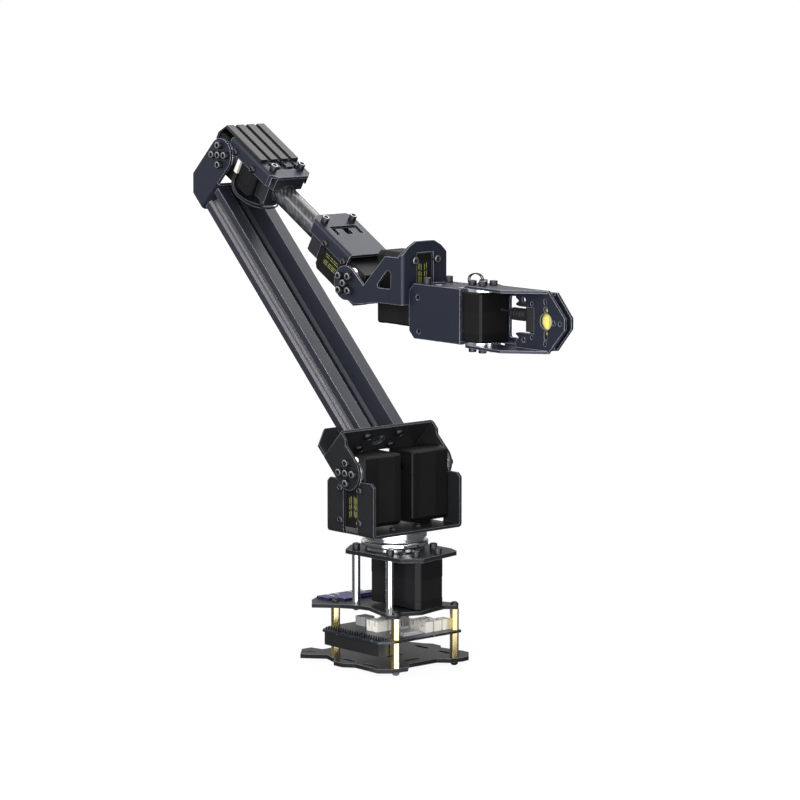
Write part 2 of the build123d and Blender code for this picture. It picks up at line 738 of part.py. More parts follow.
def forearm_cap_screws():
    """Tall cap screws that pull the clamps to the channels."""
    places = tall_spots(clamp_start + tall_screw_in) + tall_spots(wrist_clamp_start + clamp_long / 2)
    return [screw(fore_top, x, y, bracket_top, sheet + 5, head_r, tall_head_h) for x, y in places]


def forearm_side_screws():
    """Screws through the channels' flanges into the servos."""
    solids = []
    for along in (mount_near, mount_far, forearm_length - mount_far, forearm_length - mount_near):
        for sign in (-1, 1):
            solids.append(screw(fore_side, along, mount_side, sign * wall_out, sheet, turn=sign))
    return solids


def cover_back(thick):
    """Outer line of the cover's side view, for a wall of the given thickness."""
    top = bracket_top + thick
    back = cover_start - thick
    return [(back, cover_low), (back, 10.4), (-8.2, top), (cover_end, top)]


def elbow_cover():
    """Ribbed cover over the elbow channel, curved down behind the servo."""
    inner = [(cover_end, bracket_top), (-8.5, bracket_top), (cover_start, 11.4), (cover_start, cover_low)]
    solid = extrude(fore_side * face(cover_back(cover_skin) + inner), cover_half, both=True)
    rib_width = (2 * cover_half - (cover_ribs - 1) * cover_gap) / cover_ribs
    for i in range(cover_ribs):
        middle = -cover_half + rib_width / 2 + i * (rib_width + cover_gap)
        rib = face(cover_back(cover_skin + cover_rib) + inner)
        solid = solid + extrude(fore_side.offset(middle) * rib, rib_width / 2, both=True)
    return solid


def elbow_plugs():
    """White plugs of the elbow servo's leads, one on each side of the servo."""
    solids = []
    for sign in (-1, 1):
        low, high = sorted((sign * half_depth, sign * (half_depth + plug_deep)))
        solids.append(block(fore_side, (plug_start, plug_low, low), (plug_start + plug_long, plug_high, high)))
    return solids


def lead(points, radius):
    """Round lead along a route, each bend as large as its two runs allow."""
    route = [Vector(*p) for p in points]
    bends = []
    for before, here, after in zip(route, route[1:], route[2:]):
        first = here - before
        second = after - here
        half_turn = math.radians(first.get_angle(second)) / 2
        bends.append(0.45 * min(first.length, second.length) / math.tan(half_turn))
    path = FilletPolyline(*route, radius=bends)
    solid = sweep(Plane(path @ 0, z_dir=path % 0) * Circle(radius), path=path)
    print("lead radii", [round(b, 1) for b in bends], "length", round(path.length, 1),
          "volume ratio", round(solid.volume / (math.pi * radius ** 2 * path.length), 3))
    return solid


def elbow_leads():
    """Two strands that loop out of the near plug, under the clamp and into the far plug."""
    out = half_depth + plug_deep / 2
    strands = []
    for i in (0, 1):
        start = plug_start + plug_long / 2 + (i - 0.5) * lead_pitch
        drop_n = -12.4 + 0.6 * i
        low = -18.2 + lead_pitch * i
        reach = clamp_start + 6.0 - lead_pitch * i
        points = [
            (start, plug_low, out), (start, drop_n, out), (start + 7.6 - i, low + 0.4, out - 0.2),
            (reach - 6.5, low, out - 4.2), (reach, low + 1.0, 5.5), (reach, low + 1.2, -6.0),
            (reach - 7.5, low, -out + 3.4), (start + 7.0 - i, low + 0.5, -out + 0.1),
            (start, drop_n, -out), (start, plug_low, -out),
        ]
        strands.append(fore_side * lead(points, lead_r))
    return strands


# Wrist

def wrist_fork():
    """Folded fork: an ear over each wrist horn, arms with a rounded window, and a front plate."""
    line = [(-ear_mid, -horn_r), (-ear_mid, fork_reach), (ear_mid, fork_reach), (ear_mid, -horn_r)]
    solid = folded(fork_cross, line, 2 * fork_front_high)
    front = fork_reach - bend - 1
    edge = face([
        (2, -11.8), (0, 11.9), (7, 9.8), (19, -0.4), (41.7, 21.4), (front, fork_arm_high), (front, fork_front_high),
        (fork_reach + 1, fork_front_high), (fork_reach + 1, fork_front_low), (33.7, fork_front_low), (9.5, -13.9),
    ])
    side = through(fork_side, edge + Circle(horn_r))
    solid = solid & side
    window = rounded([(31, -0.6), (47.6, -0.6), (47.6, 11.7), (43.5, 11.7)], 1.8)
    solid = solid - through(fork_side, window)
    servo_face = Plane((0, 0, roll_z), x_dir=(0, 0, 1), z_dir=(1, 0, 0))
    keep = block(fork_side, (-20, -40, -40), (fork_reach - sheet, 40, 40))
    opened = horn_window(servo_face) - keep
    solid = solid - opened
    for sign in (-1, 1):
        top = wrist.Z + fork_front_high
        corner = face([(sign * 8.3, top + 1), (sign * 8.3, top), (sign * 14.5, top - 3.4),
                       (sign * (wall_out + 5), top - 12), (sign * (wall_out + 5), top + 1)])
        solid = solid - through(Plane((0, 0, 0), x_dir=(0, 1, 0), z_dir=(1, 0, 0)), corner)
    solid = drill(solid, roll_end, [(-mount_side, mount_far), (mount_side, mount_far)], -3, 5)
    return drill(solid, fork_side, ear_spots(0, 0), -30, 30, screw_r + fit)


def wrist_screws():
    """Screws through the fork's front plate into the roll servo."""
    return [screw(roll_end, y, mount_far, sheet, sheet) for y in (-mount_side, mount_side)]


# Hand

def gripper_bracket():
    """Sheet box round the gripper servo, open in front, on the roll horn."""
    high = half_depth + sheet
    side = half_width + sheet
    outer = block(grip_side, (0, -high, -side), (grip_box_long, high, side))
    inner = block(grip_side, (sheet, -half_depth, -half_width), (grip_box_long + 1, half_depth, half_width))
    solid = outer - inner
    for sign in (-1, 1):
        corner = Pos(0, sign * high) * Rot(0, 0, 45) * Rectangle(grip_chamfer * 1.414, grip_chamfer * 1.414)
        solid = solid - through(grip_side, corner)
    solid = solid - through(Plane((grip_x, 0, roll_z)), Circle(window_r))
    solid = solid - through(grip_top, Pos(14, 0) * SlotOverall(14, 9))
    solid = solid - block(grip_side, (20, -half_depth, -side - 1), (grip_box_long + 1, half_depth, -half_width + 0.1))
    for x, z in [(8.6, 9.5), (9.8, -13.5)]:
        solid = solid - disc(grip_side, x, z, 0, 30, 1.7)
    solid = drill(solid, grip_top, grip_spots(), -30, 30)
    solid = drill(solid, grip_top, [(box_screw_ahead, -mount_side), (box_screw_ahead, mount_side)], 0, 30)
    return drill(solid, roll_end, horn_spots(), -5, 8, screw_r + fit)


def grip_spots():
    """Places of the screws into the gripper servo, top and bottom."""
    return [(grip_axis_ahead - x, y) for x in (mount_near, mount_far) for y in (-mount_side, mount_side)]


def hand_screws():
    """Screws into the gripper servo from above and below, and into the roll horn from inside."""
    seat = half_depth + sheet
    solids = [screw(grip_top, x, y, sign * seat, sheet, height=low_head_h, turn=sign)
              for x, y in grip_spots() for sign in (-1, 1)]
    solids += [screw(grip_top, box_screw_ahead, y, seat, sheet, height=cap_head_h) for y in (-mount_side, mount_side)]
    inside = horn_lift + horn_h + sheet
    solids += [screw(roll_end, x, y, inside, sheet, height=1.8) for x, y in horn_spots()]
    return solids


def fixed_jaw():
    """Plate that carries the bracket's far side on to the jaw's tip, flanged above and below."""
    tip = grip_axis_ahead + fixed_tip
    nose = grip_axis_ahead + fixed_nose
    high = half_depth + sheet
    edge = rounded([
        (20.2, -high + 2.2), (grip_box_long, -high + 2.2), (grip_box_long + 0.2, -high), (nose, -fixed_half),
        (tip, -fixed_tip_half), (tip, fixed_tip_half), (nose, fixed_half), (grip_box_long + 0.2, high),
        (grip_box_long, high - 2.2), (20.2, high - 2.2),
    ], 0.08)
    plate = extrude(grip_side.offset(-half_width - sheet) * edge, sheet)
    first = grip_axis_ahead + window_from
    last = grip_axis_ahead + window_to
    opening = Pos((first + last) / 2, 0) * RectangleRounded(last - first, 2 * jaw_window_half, 2)
    plate = plate - extrude(grip_side.offset(-half_width - sheet - 1) * opening, sheet + 2)
    for sign in (-1, 1):
        low, high = sorted((sign * (fixed_half - sheet), sign * fixed_half))
        start = grip_axis_ahead + window_r + 2 * gap
        plate = plate + block(grip_top, (start, fixed_flange_y, low), (nose - 1.5, half_width + 0.5, high))
    return plate


# Finger

def moving_jaw():
    """Folded sheet jaw: two arms from the gripper horns, joined by the pierced jaw plate."""
    arm_low = half_depth + horn_lift + horn_h
    nose = grip_axis_ahead + jaw_nose
    tip = grip_axis_ahead + jaw_tip
    root = grip_axis_ahead + jaw_root
    edge = face([
        (grip_axis_ahead, -12), (grip_axis_ahead + 33, -14.5), (nose, jaw_plate_y), (nose, jaw_plate_y + sheet),
        (grip_axis_ahead + 12, 7.5), (grip_axis_ahead, 12),
    ])
    shape = edge + Pos(grip_axis_ahead, 0) * Circle(horn_r)
    upper = extrude(grip_top.offset(arm_low) * shape, sheet)
    lower = extrude(grip_top.offset(-arm_low - sheet) * shape, sheet)
    arm_high = arm_low + sheet
    plate_edge = face([
        (root, -arm_high), (nose, -arm_high), (tip, -jaw_tip_half), (tip, jaw_tip_half), (nose, arm_high),
        (root, arm_high), (root, 14.2), (root + jaw_tooth, 12.4), (root, 10.2), (root, 9.4),
        (root + jaw_tooth, sensor_half + 0.4), (root + jaw_notch, sensor_half + 0.4),
        (root + jaw_notch, -sensor_half - 0.4), (root + jaw_tooth, -sensor_half - 0.4), (root, -9.4),
        (root, -10.2), (root + jaw_tooth, -12.4), (root, -14.2),
    ])
    plate = extrude(grip_side.offset(-jaw_plate_y - sheet) * plate_edge, sheet)
    solid = upper + lower + plate
    holes = [(root + 7.8, 13.4, 1.7), (root + 7.8, -13.4, 1.7), (root + 15.5, 11.2, 1.25), (root + 15.5, -11.2, 1.25),
             (nose - 1.8, 8.4, 1.9), (nose - 1.6, 0.6, 5.5), (nose + 5.8, 0, 1.6), (nose + 11.8, 0, 1.5)]
    for x, z, r in holes:
        solid = solid - disc(grip_side, x, z, -12, 0, r)
    for x, z, long, wide in [(nose - 1.7, -8.8, 6.2, 3.0), (nose - 2.4, -14.2, 3.6, 2.2), (nose - 2.6, 13.6, 3.6, 2.2)]:
        slot = Pos(x, z) * Rot(0, 0, 90) * SlotOverall(long, wide)
        solid = solid - extrude(grip_side.offset(-12) * slot, 12)
    return drill(solid, grip_top, ear_spots(grip_axis_ahead, 0), -30, 30, screw_r + fit)


def grip_pad():
    """Soft pad on the inner face of the fixed jaw."""
    nose = grip_axis_ahead + fixed_nose
    low = (nose - 2 - pad_long, jaw_plate_y + sheet + gap, -pad_high / 2)
    high = (nose - 2, half_width, pad_high / 2)
    plane = Plane((hand_x, 0, roll_z), x_dir=(1, 0, 0), z_dir=(0, 0, 1))
    return block(plane, low, high)


def jaw_sensor():
    """Sensor body on the fixed jaw, with its ribbed boot pointing back."""
    body = block(grip_top, (sensor_start, 7.9, -sensor_half), (sensor_start + sensor_long, half_width, sensor_half))
    boot_plane = Plane((hand_x + boot_start, 8.2, roll_z + boot_z), x_dir=(0, 1, 0), z_dir=(1, 0, 0))
    boot = disc(boot_plane, 0, 0, 0, sensor_start - boot_start + 1, 3.4)
    for i in range(4):
        boot = boot + disc(boot_plane, 0, 0, 2.9 * i, 2.9 * i + 1.7, 4.3)
    return body + boot


save("base_plate", base_plate())
save("base_button_screws", *base_button_screws())
save("lower_standoffs", *standoffs(base_top, lower_standoff_h))
save("controller_board", controller_board())
save("header_block", header_block())
save("board_connectors", *board_connectors())
save("board_parts", *board_parts())
save("upper_standoffs", *standoffs(board_top, upper_standoff_h))
save("mid_plate", mid_plate())
save("module_board", module_board())
save("posts", *posts())
save("top_plate", top_plate())
save("top_plate_screws", *top_plate_screws())
save("base_servo_case", servo_case(base_servo))
save("base_servo_lids", *servo_lids(base_servo))
save("turntable_base_ring", turntable_base_ring())

save("turntable_top_ring", turntable_top_ring())
save("yaw_horn", horn(base_servo, 1))
save("turret_bracket", turret_bracket())
save("turret_screws", *turret_screws())
save("near_shoulder_servo_case", servo_case(near_servo))
save("far_shoulder_servo_case", servo_case(far_servo))
save("shoulder_servo_lids", *servo_lids(near_servo), *servo_lids(far_servo))

save("shoulder_ears", shoulder_ears())
save("shoulder_horns", horn(near_servo, 1), horn(far_servo, 1))
save("arm_extrusion", arm_extrusion())
save("arm_end_screws", *arm_end_screws())
save("elbow_ears", elbow_ears())
save("elbow_horns", horn(elbow_servo, 1), horn(elbow_servo, -1))
save("arm_horn_screws", *ear_screws(arm_side, 0, 0, shoulder_ear_y + sheet),
     *ear_screws(arm_side, elbow_u, elbow_w, ear_in + sheet))

save("elbow_servo_case", servo_case(elbow_servo))
save("elbow_servo_lids", *servo_lids(elbow_servo))
save("elbow_bracket", elbow_bracket())
save("elbow_cover", elbow_cover())
save("elbow_clamp", clamp(clamp_start, clamp_start + tall_screw_in, clamp_brow))
save("forearm_tube", forearm_tube())
save("elbow_plugs", *elbow_plugs())
save("elbow_leads", *elbow_leads())
save("wrist_clamp", clamp(wrist_clamp_start, wrist_clamp_start + clamp_long / 2, 0))
save("wrist_bracket", wrist_bracket())
save("wrist_servo_case", servo_case(wrist_servo))
save("wrist_servo_lids", *servo_lids(wrist_servo))
save("forearm_cap_screws", *forearm_cap_screws())
save("forearm_side_screws", *forearm_side_screws())

save("wrist_fork", wrist_fork())
save("wrist_horns", horn(wrist_servo, 1), horn(wrist_servo, -1))
save("wrist_screws", *wrist_screws(), *ear_screws(fork_side, 0, 0, ear_in + sheet))
save("roll_servo_case", servo_case(roll_servo))
save("roll_servo_lids", *servo_lids(roll_servo))

save("roll_horn", horn(roll_servo, 1))
save("gripper_bracket", gripper_bracket())
save("gripper_servo_case", servo_case(grip_servo))
save("gripper_servo_lids", *servo_lids(grip_servo))
save("fixed_jaw", fixed_jaw())
save("grip_pad", grip_pad())
save("jaw_sensor", jaw_sensor())
save("hand_screws", *hand_screws())

save("moving_jaw", moving_jaw())
save("jaw_horns", horn(grip_servo, 1), horn(grip_servo, -1))
save("jaw_screws", *ear_screws(grip_top, grip_axis_ahead, 0, ear_in + sheet))
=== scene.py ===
# %% [markdown]
# # A desktop robot arm, dressed for a studio picture
# The arm already exists as a frame of measured solids: plates, brackets, servos, a slotted rail and a
# gripper. This lesson gives each of them its finish, and adds the small things that solids leave out,
# such as the sockets in the screw heads, the header's pins and the labels. Everything is in metres, in
# the arm's own frame: +X is the way the gripper points, +Z is up, and z = 0 is the table top.

# %% Load the frame
import math

import bmesh
import bpy
import numpy as np
from mathutils import Matrix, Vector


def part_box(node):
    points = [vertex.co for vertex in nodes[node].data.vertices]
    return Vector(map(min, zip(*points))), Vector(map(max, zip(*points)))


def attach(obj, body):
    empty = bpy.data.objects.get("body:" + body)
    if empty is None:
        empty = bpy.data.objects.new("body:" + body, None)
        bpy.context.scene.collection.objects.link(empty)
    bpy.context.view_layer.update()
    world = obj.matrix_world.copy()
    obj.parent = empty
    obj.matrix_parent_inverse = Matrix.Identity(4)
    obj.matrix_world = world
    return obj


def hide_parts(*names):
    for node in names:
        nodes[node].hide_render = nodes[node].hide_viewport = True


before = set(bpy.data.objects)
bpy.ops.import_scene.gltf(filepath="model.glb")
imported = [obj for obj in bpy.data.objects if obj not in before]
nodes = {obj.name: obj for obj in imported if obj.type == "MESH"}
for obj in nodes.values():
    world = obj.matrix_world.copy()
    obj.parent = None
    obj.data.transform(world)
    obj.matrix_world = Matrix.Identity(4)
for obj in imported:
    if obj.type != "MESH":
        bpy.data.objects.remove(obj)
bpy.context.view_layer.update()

# %% [markdown]
# ## The arm's own measures
# Some places and sizes of the frame are needed again and again: where the axes are, how far the forearm
# hangs, and how deep the rail's channel and slots are cut. Each is written once, as a drawing would give
# it.

# %% Measures
mm = 0.001
shoulder = np.array([0.0, 0.0, 138.8]) * mm
elbow = np.array([-166.170, 0.0, 347.397]) * mm
wrist = np.array([-27.737, 0.0, 266.178]) * mm
roll_servo = np.array([12.813, 0.0, 251.678]) * mm
grip_servo = np.array([90.163, 0.0, 251.678]) * mm
forearm_drop = math.radians(30.4)
rail_lean = math.radians(45.0)
tube_radius = 8.0 * mm
rail_half = 20.0 * mm
channel_half = 12.0 * mm
slot_half = 6.0 * mm
slot_deep = 5.6 * mm

forward = np.array([1.0, 0.0, 0.0])
upward = np.array([0.0, 0.0, 1.0])
side_out = np.array([0.0, -1.0, 0.0])
tube_way = np.array([math.cos(forearm_drop), 0.0, -math.sin(forearm_drop)])
tube_up = np.array([math.sin(forearm_drop), 0.0, math.cos(forearm_drop)])
rail_way = np.array([-math.sin(rail_lean), 0.0, math.cos(rail_lean)])
rail_out = np.array([math.cos(rail_lean), 0.0, math.sin(rail_lean)])
print("shoulder to elbow", round(float(np.linalg.norm(elbow - shoulder)) / mm, 1), "mm, elbow to wrist",
      round(float(np.linalg.norm(wrist - elbow)) / mm, 1), "mm")

# %% [markdown]
# ## Shader maths that reads like maths
# A node tree is a formula drawn with wires. Writing it as a formula keeps it short: a small class wraps a
# socket, and each operator on it adds the Math node that works it out. Colours never go through a Math
# node, because that would turn them grey, so they have their own mixing method.

# %% Wires and paints
class Wire:
    """One output socket; + - * on it add Math nodes, also with a plain number on the left."""

    def __init__(self, paint, socket):
        self.paint = paint
        self.socket = socket

    def math(self, operation, *others, clamp=False):
        """Adds the named Math node, with this value as its first input."""
        settings = {"operation": operation, "use_clamp": clamp}
        return self.paint.node("ShaderNodeMath", settings, self, *others)

    def __add__(self, other):
        return self.math("ADD", other)

    def __radd__(self, other):
        return self.math("ADD", other)

    def __mul__(self, other):
        return self.math("MULTIPLY", other)

    def __rmul__(self, other):
        return self.math("MULTIPLY", other)

    def __sub__(self, other):
        return self.math("SUBTRACT", other)

    def __rsub__(self, other):
        return self.paint.node("ShaderNodeMath", {"operation": "SUBTRACT"}, other, self)

    def over(self, edge, soft=0.0):
        """1 where the value is above the edge, 0 below, with a soft step between."""
        if soft == 0.0:
            return self.math("GREATER_THAN", edge)
        return self.paint.node("ShaderNodeMapRange", {"interpolation_type": "SMOOTHSTEP"},
                               self, edge - soft, edge + soft, 0.0, 1.0)


class Paint:
    """One material: a Principled shader, and methods that wire nodes into it."""

    def __init__(self, name, **constants):
        self.material = bpy.data.materials.new(name)
        self.material.use_nodes = True
        self.tree = self.material.node_tree
        self.shader = self.tree.nodes["Principled BSDF"]
        for socket, value in constants.items():
            self.shader.inputs[socket.replace("_", " ")].default_value = value

    def node(self, kind, settings, *values, out=0, **named):
        """Adds one node: its settings first, then its inputs in order or by name."""
        made = self.tree.nodes.new(kind)
        for key, value in settings.items():
            setattr(made, key, value)
        pairs = [(made.inputs[i], v) for i, v in enumerate(values)]
        pairs += [(made.inputs[key.replace("_", " ")], v) for key, v in named.items()]
        for socket, value in pairs:
            if isinstance(value, Wire):
                self.tree.links.new(value.socket, socket)
            elif value is not None:
                socket.default_value = value
        return Wire(self, made.outputs[out])

    def colour(self, factor, first, second):
        """A colour between first and second."""
        made = self.tree.nodes.new("ShaderNodeMix")
        made.data_type = "RGBA"
        for index, value in ((0, factor), (6, first), (7, second)):
            if isinstance(value, Wire):
                self.tree.links.new(value.socket, made.inputs[index])
            elif index == 0:
                made.inputs[index].default_value = value
            else:
                made.inputs[index].default_value = (*value, 1.0)
        return Wire(self, made.outputs[2])

    def place(self, scale=(1.0, 1.0, 1.0), turn=(0.0, 0.0, 0.0), shift=(0.0, 0.0, 0.0)):
        """Object coordinates in metres, turned and stretched for a pattern."""
        where = self.node("ShaderNodeTexCoord", {}, out=3)
        moved = self.node("ShaderNodeMapping", {"vector_type": "TEXTURE"}, Vector=where, Location=shift,
                          Rotation=turn)
        return self.node("ShaderNodeVectorMath", {"operation": "MULTIPLY"}, moved, scale)

    def dot(self, where, direction):
        """How far a place lies along a direction."""
        return self.node("ShaderNodeVectorMath", {"operation": "DOT_PRODUCT"}, where, direction, out=1)

    def noise(self, where, scale, detail, rough=0.5):
        """Cloudy noise from 0 to 1."""
        return self.node("ShaderNodeTexNoise", {}, Vector=where, Scale=scale, Detail=detail,
                         Roughness=rough)

    def edges(self, radius):
        """0 on flat stretches and more near an edge, from the difference a rounded edge would make."""
        round_edge = self.node("ShaderNodeBevel", {"samples": 6}, Radius=radius)
        flat = self.node("ShaderNodeNewGeometry", {}, out=1)
        return 1.0 - self.dot(round_edge, flat)

    def finish(self, base, rough, bump, bump_height, bevel=0.0):
        """Wires what varies over the surface into the shader, and returns the material."""
        self.tree.links.new(base.socket, self.shader.inputs["Base Color"])
        self.tree.links.new(rough.socket, self.shader.inputs["Roughness"])
        rounded = self.node("ShaderNodeBevel", {"samples": 6}, Radius=bevel) if bevel > 0.0 else None
        normal = self.node("ShaderNodeBump", {}, Strength=1.0, Distance=bump_height, Height=bump,
                           Normal=rounded)
        self.tree.links.new(normal.socket, self.shader.inputs["Normal"])
        return self.material


print("shader helpers ready")

# %% [markdown]
# ## Black anodised sheet
# The plates and brackets are folded aluminium, blasted and dyed black: a slate tone with fine grain, and
# edges where the cut metal shines through a little. A rounded-edge normal catches the thin bright line
# that every real sheet edge has, and the same information, used as a mask, lightens the colour there: a
# painted highlight along with the wear. The rail is extruded and dyed separately. Its channel walls get
# painted light and its undercut slots a painted highlight, each a little paler, and because they have
# simple places on the rail, two masks worked out from the coordinates are enough to find them.

# %% Sheet metal finish
def anodised(name, base, edge_highlight_and_wear, rough, shine=0.5, patches=()):
    """Blasted and dyed aluminium: grain, slow tone changes, edges lightened by painted highlight and wear,
    and patches of painted light in another tone.
    """
    paint = Paint(name, Metallic=0.12, Specular_IOR_Level=shine)
    where = paint.place()
    slow = paint.noise(where, 30.0, 3.0)
    fine = paint.noise(where, 9000.0, 2.0)
    edge = paint.edges(0.7 * mm).math("MULTIPLY", 5.0, clamp=True)
    tone = paint.colour(slow, [c * 0.9 for c in base], [c * 1.12 for c in base])
    # Each patch is painted light: a paler tone laid on one place of the rail.
    for painted_light_mask_of, patch in patches:
        painted_light_cover = painted_light_mask_of(paint)
        tone = paint.colour(painted_light_cover, tone, patch)
        edge = edge * (1.0 - painted_light_cover)
    # Painted edge highlight, partly wear: the edges are lightened towards the highlight-and-wear tone.
    tone = paint.colour(edge * (0.60 + slow * 0.4), tone, edge_highlight_and_wear)
    gloss = rough - 0.06 + slow * 0.10 + fine * 0.04
    return paint.finish(base=tone, rough=gloss, bump=fine, bump_height=0.02 * mm, bevel=0.35 * mm)


def rail_places(paint):
    """How far a point of the rail is from its middle sideways, and from its mid-plane front to back."""
    where = paint.place()
    sideways = paint.node("ShaderNodeSeparateXYZ", {}, where, out=1).math("ABSOLUTE")
    depth = paint.dot(where, tuple(rail_out)) - float(shoulder @ rail_out)
    return sideways, depth.math("ABSOLUTE")


def channel_wall_painted_light(paint):
    """1 on the side walls of the rail's front channel, where light is painted as a paler tone."""
    sideways, _ = rail_places(paint)
    normal = paint.node("ShaderNodeNewGeometry", {}, out=1)
    facing_side = paint.node("ShaderNodeSeparateXYZ", {}, normal, out=1).math("ABSOLUTE").over(0.6)
    return facing_side * (1.0 - sideways.over(channel_half + 0.5 * mm))


def slot_slope_painted_highlight(paint):
    """1 in the undercut slots down the rail's sides, where a highlight is painted as a paler tone."""
    sideways, depth = rail_places(paint)
    below_mouth = 1.0 - sideways.over(rail_half - 0.1 * mm)
    above_floor = sideways.over(rail_half - slot_deep - 0.2 * mm)
    return above_floor * below_mouth * (1.0 - depth.over(slot_half + 0.3 * mm))


sheet_paint = anodised("slate anodised sheet", (0.015, 0.019, 0.034), (0.62, 0.64, 0.70), 0.34, shine=0.34)
deep_paint = anodised("black anodised sheet", (0.021, 0.0215, 0.023), (0.32, 0.33, 0.36), 0.32, shine=0.13)
# Paler tones painted on the rail: painted light on the channel walls, a painted highlight in the slots.
rail_painted_light = ((channel_wall_painted_light, (0.044, 0.049, 0.066)), (slot_slope_painted_highlight, (0.17, 0.165, 0.185)))
rail_paint = anodised("black anodised rail", (0.020, 0.022, 0.033), (0.55, 0.56, 0.62), 0.32,
                      patches=rail_painted_light)
block_paint = anodised("black anodised block", (0.012, 0.013, 0.018), (0.50, 0.51, 0.54), 0.38)
print("sheet metal:", sheet_paint.name, deep_paint.name, rail_paint.name, block_paint.name)

# %% [markdown]
# ## Moulded servo plastic
# The servo housings are black nylon from a spark-eroded mould, so they have a fine even grain and a soft
# sheen. The same recipe with another colour and grain gives the connectors, the ribbed cover, the boot,
# the pad and the jackets of the leads.

# %% Moulded finish
def moulded(name, base, rough, grain=2600.0, depth=0.03 * mm, bevel=0.3 * mm, shine=0.5):
    """Moulded plastic: spark-eroded grain and slow tone changes."""
    paint = Paint(name, Specular_IOR_Level=shine)
    where = paint.place()
    fine = paint.noise(where, grain, 2.0, 0.6)
    slow = paint.noise(where, 45.0, 3.0)
    tone = paint.colour(slow, [c * 0.85 for c in base], [c * 1.18 for c in base])
    gloss = rough - 0.05 + slow * 0.08 + fine * 0.05
    return paint.finish(base=tone, rough=gloss, bump=fine, bump_height=depth, bevel=bevel)


servo_paint = moulded("black servo plastic", (0.0065, 0.0065, 0.007), 0.42, shine=0.16)
case_paint = moulded("black servo middle case", (0.0085, 0.0085, 0.009), 0.46, shine=0.16)
cover_paint = moulded("black ribbed cover", (0.012, 0.012, 0.013), 0.38, depth=0.006 * mm)
lead_paint = moulded("black lead jacket", (0.020, 0.020, 0.022), 0.36, grain=900.0, depth=0.01 * mm)
cream_paint = moulded("cream connector", (0.95, 0.93, 0.86), 0.40, grain=1800.0, depth=0.01 * mm)
boot_paint = moulded("black rubber boot", (0.018, 0.018, 0.019), 0.50)
pad_paint = moulded("yellow pad", (0.93, 0.82, 0.22), 0.80, grain=1500.0, depth=0.08 * mm)
part_paint = moulded("pale component", (0.52, 0.53, 0.55), 0.30, grain=900.0, depth=0.008 * mm)
print("plastics ready")

# %% [markdown]
# ## Polished and turned metal
# The turntable, horns and posts are polished bright; the standoffs are turned brass; the screws are
# steel. Each is a metal whose colour is its reflection, so faint turning lines in the roughness do most
# of the work.

# %% Metals
def turned(name, base, rough, lines=0.03):
    """Bright metal: fine turning marks and slow smudges in the roughness."""
    paint = Paint(name, Metallic=1.0)
    where = paint.place(scale=(1.0, 1.0, 40.0))
    marks = paint.noise(where, 260.0, 2.0)
    smudge = paint.noise(paint.place(), 60.0, 4.0)
    tone = paint.colour(smudge, [c * 0.93 for c in base], base)
    gloss = rough + marks * lines + smudge * lines
    return paint.finish(base=tone, rough=gloss, bump=marks, bump_height=0.004 * mm, bevel=0.3 * mm)


chrome_paint = turned("polished metal", (0.98, 0.98, 0.98), 0.09)
brass_paint = turned("turned brass", (0.97, 0.78, 0.36), 0.16, 0.06)
steel_paint = turned("bright screw steel", (0.40, 0.40, 0.42), 0.26, 0.10)
dark_steel_paint = turned("blackened screw steel", (0.06, 0.06, 0.065), 0.34, 0.12)
print("metals ready")

# %% [markdown]
# ## Carbon tube
# The forearm is a rolled tube of twill carbon under a clear coat. The weave is worked out from the tube's
# own axis: the distance along it and the distance round it, added in different shares, make two families
# of slanting bands. One family is strong and the other only breaks it up. Threads shine where they happen
# to lie well for the light, so a slow noise lets the bands show in patches.

# %% Carbon finish
def carbon(name, thread):
    """Twill weave round a tube: slanting bands that show in patches, under a clear coat."""
    paint = Paint(name, Coat_Weight=1.0, Coat_Roughness=0.05, Specular_IOR_Level=0.5)
    where = paint.place(turn=(0.0, forearm_drop, 0.0), shift=tuple(elbow))
    along, side, up = (paint.node("ShaderNodeSeparateXYZ", {}, where, out=axis) for axis in range(3))
    around = side.math("ARCTAN2", up) * tube_radius
    waves = 2.0 * math.pi / thread
    lean = ((along + around * 1.4) * waves).math("SINE") * 0.5 + 0.5
    cross = ((along * 0.4 - around) * waves).math("SINE") * 0.5 + 0.5
    over = (lean * 0.5 + lean * cross * 0.5).over(0.40, 0.38)
    patch = paint.noise(where, 170.0, 2.0).over(0.50, 0.16)
    tone = paint.colour(over * patch, (0.008, 0.008, 0.011), (0.115, 0.120, 0.140))
    gloss = 0.34 + over * 0.16
    return paint.finish(base=tone, rough=gloss, bump=over, bump_height=0.04 * mm)


carbon_paint = carbon("clear-coated carbon twill", 4.6 * mm)
print("carbon ready")

# %% [markdown]
# ## Circuit boards
# A circuit board is fibreglass under a coloured lacquer; copper tracks show as faint raised lines and the
# pads as bright dots. The tracks come from a stepped noise, so that they run straight and turn sharply.

# %% Board finish
def board(name, base, track, pad):
    """Lacquered board: tracks from stepped noise, and a sparse field of tinned pads."""
    paint = Paint(name, Specular_IOR_Level=0.6)
    where = paint.place()
    step = paint.node("ShaderNodeTexVoronoi", {"distance": "MANHATTAN", "feature": "DISTANCE_TO_EDGE"},
                      Vector=where, Scale=170.0)
    line = 1.0 - step.over(0.06, 0.02)
    dots = paint.node("ShaderNodeTexVoronoi", {}, Vector=where, Scale=330.0)
    spots = 1.0 - dots.over(0.16, 0.03)
    chance = paint.noise(where, 120.0, 1.0).over(0.56)
    tinned = spots * chance
    tone = paint.colour(line * 0.6, base, track)
    tone = paint.colour(tinned, tone, pad)
    gloss = 0.32 - tinned * 0.08
    return paint.finish(base=tone, rough=gloss, bump=line + tinned, bump_height=0.03 * mm, bevel=0.2 * mm)


board_paint = board("dark controller board", (0.010, 0.014, 0.020), (0.035, 0.045, 0.060),
                    (0.60, 0.58, 0.50))
violet_paint = board("violet module board", (0.013, 0.011, 0.085), (0.045, 0.042, 0.190),
                     (0.80, 0.80, 0.78))
print("boards ready")
